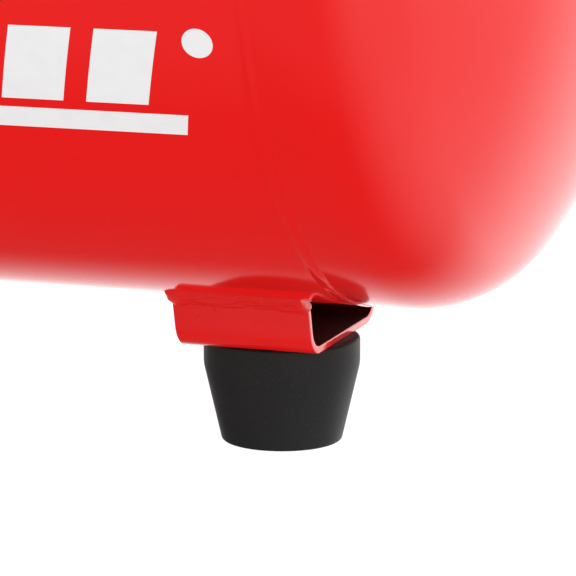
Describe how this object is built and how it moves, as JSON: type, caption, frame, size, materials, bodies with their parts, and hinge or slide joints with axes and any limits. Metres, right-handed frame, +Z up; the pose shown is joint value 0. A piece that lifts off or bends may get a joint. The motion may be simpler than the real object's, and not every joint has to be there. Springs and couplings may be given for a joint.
{
  "type": "air receiver tank",
  "caption": "Horizontal red air receiver with dished heads, a rubber foot under one end, wheels at the other, a carrying bow, a pump platform and threaded sockets.",
  "frame": {"origin": "on the floor under the middle of the tank", "axes": "+X along the tank towards the end with the rubber foot, -Y the front, +Z up"},
  "size_m": [0.8058, 0.4046, 0.4899],
  "materials": {
    "tank_paint": "glossy bright red stove enamel",
    "foot_rubber": "matt black moulded rubber",
    "zinc_steel": "zinc plated, satin",
    "handle_paint": "satin black powder coat",
    "grip_rubber": "soft matt sleeve with finger ribs",
    "rim_plastic": "black moulded polypropylene",
    "tyre_rubber": "solid rubber with three grooves",
    "bush_nylon": "natural nylon",
    "seal_fibre": "red-brown fibre",
    "brass": "machined",
    "valve_rubber": "moulded",
    "spring_steel": "drawn wire",
    "plate_aluminium": "brushed, blank"
  },
  "bodies": {
    "tank": {"axle_bolt_front": "zinc_steel", "axle_bolt_rear": "zinc_steel", "axle_nut_front": "zinc_steel", "axle_nut_rear": "zinc_steel", "axle_washers_front": "zinc_steel", "axle_washers_rear": "zinc_steel", "boss_welds": "tank_paint", "check_spring": "spring_steel", "check_valve_body": "brass", "check_valve_cap": "brass", "check_valve_socket": "tank_paint", "data_plate": "plate_aluminium", "drain_socket": "tank_paint", "drain_valve_body": "brass", "foot_bolt": "zinc_steel", "foot_bracket": "tank_paint", "foot_bracket_welds": "tank_paint", "foot_insert": "zinc_steel", "foot_nut": "zinc_steel", "girth_weld_left": "tank_paint", "girth_weld_right": "tank_paint", "handle_bolts": "zinc_steel", "handle_ear_welds": "tank_paint", "handle_ears": "tank_paint", "handle_grip": "grip_rubber", "handle_nuts": "zinc_steel", "handle_tube": "handle_paint", "head_left": "tank_paint", "head_right": "tank_paint", "inspection_boss_left": "tank_paint", "inspection_boss_right": "tank_paint", "inspection_plug_left": "zinc_steel", "inspection_plug_right": "zinc_steel", "platform_welds": "tank_paint", "plug_seals": "seal_fibre", "pump_platform": "tank_paint", "rubber_foot": "foot_rubber", "safety_spring": "spring_steel", "safety_valve_body": "brass", "safety_valve_bonnet": "brass", "safety_valve_socket": "tank_paint", "seam_weld": "tank_paint", "shell": "tank_paint", "socket_welds": "tank_paint", "switch_socket": "tank_paint", "wheel_bracket_front": "tank_paint", "wheel_bracket_rear": "tank_paint", "wheel_bracket_welds": "tank_paint"},
    "wheel_front": {"wheel_rim_front": "rim_plastic", "wheel_tyre_front": "tyre_rubber", "wheel_bush_front": "bush_nylon"},
    "wheel_rear": {"wheel_rim_rear": "rim_plastic", "wheel_tyre_rear": "tyre_rubber", "wheel_bush_rear": "bush_nylon"},
    "check_disc": {"check_disc": "valve_rubber"},
    "safety_stem": {"safety_stem": "brass", "safety_pull_knob": "brass"},
    "drain_needle": {"drain_needle": "brass"},
    "drain_screw": {"drain_wing_screw": "brass"}
  },
  "joints": [
    {"name": "wheel_front_spin", "type": "hinge", "parent": "tank", "child": "wheel_front", "pos_m": [-0.262, -0.171, 0.08], "axis": [0, 1, 0], "continuous": true},
    {"name": "wheel_rear_spin", "type": "hinge", "parent": "tank", "child": "wheel_rear", "pos_m": [-0.262, 0.171, 0.08], "axis": [0, 1, 0], "continuous": true},
    {"name": "check_disc_open", "type": "slide", "parent": "tank", "child": "check_disc", "axis": [0, 0, -1], "range_m": [0, 0.004], "stiffness_N_per_m": 150, "springref_m": -0.004, "deforming": ["check_spring"]},
    {"name": "safety_valve_pull", "type": "slide", "parent": "tank", "child": "safety_stem", "axis": [0, 0, 1], "range_m": [0, 0.003], "stiffness_N_per_m": 2000, "springref_m": -0.005, "deforming": ["safety_spring"]},
    {"name": "drain_needle_drop", "type": "slide", "parent": "tank", "child": "drain_needle", "axis": [0, 0, -1], "range_m": [0, 0.0016]},
    {"name": "drain_screw_turn", "type": "hinge", "parent": "drain_needle", "child": "drain_screw", "pos_m": [0, 0, 0.025], "axis": [0, 0, 1], "range_deg": [0, 540]}
  ],
  "couplings": [
    {"joint": "drain_needle_drop", "follows": "drain_screw_turn", "m_per_rad": 0.00015915}
  ]
}
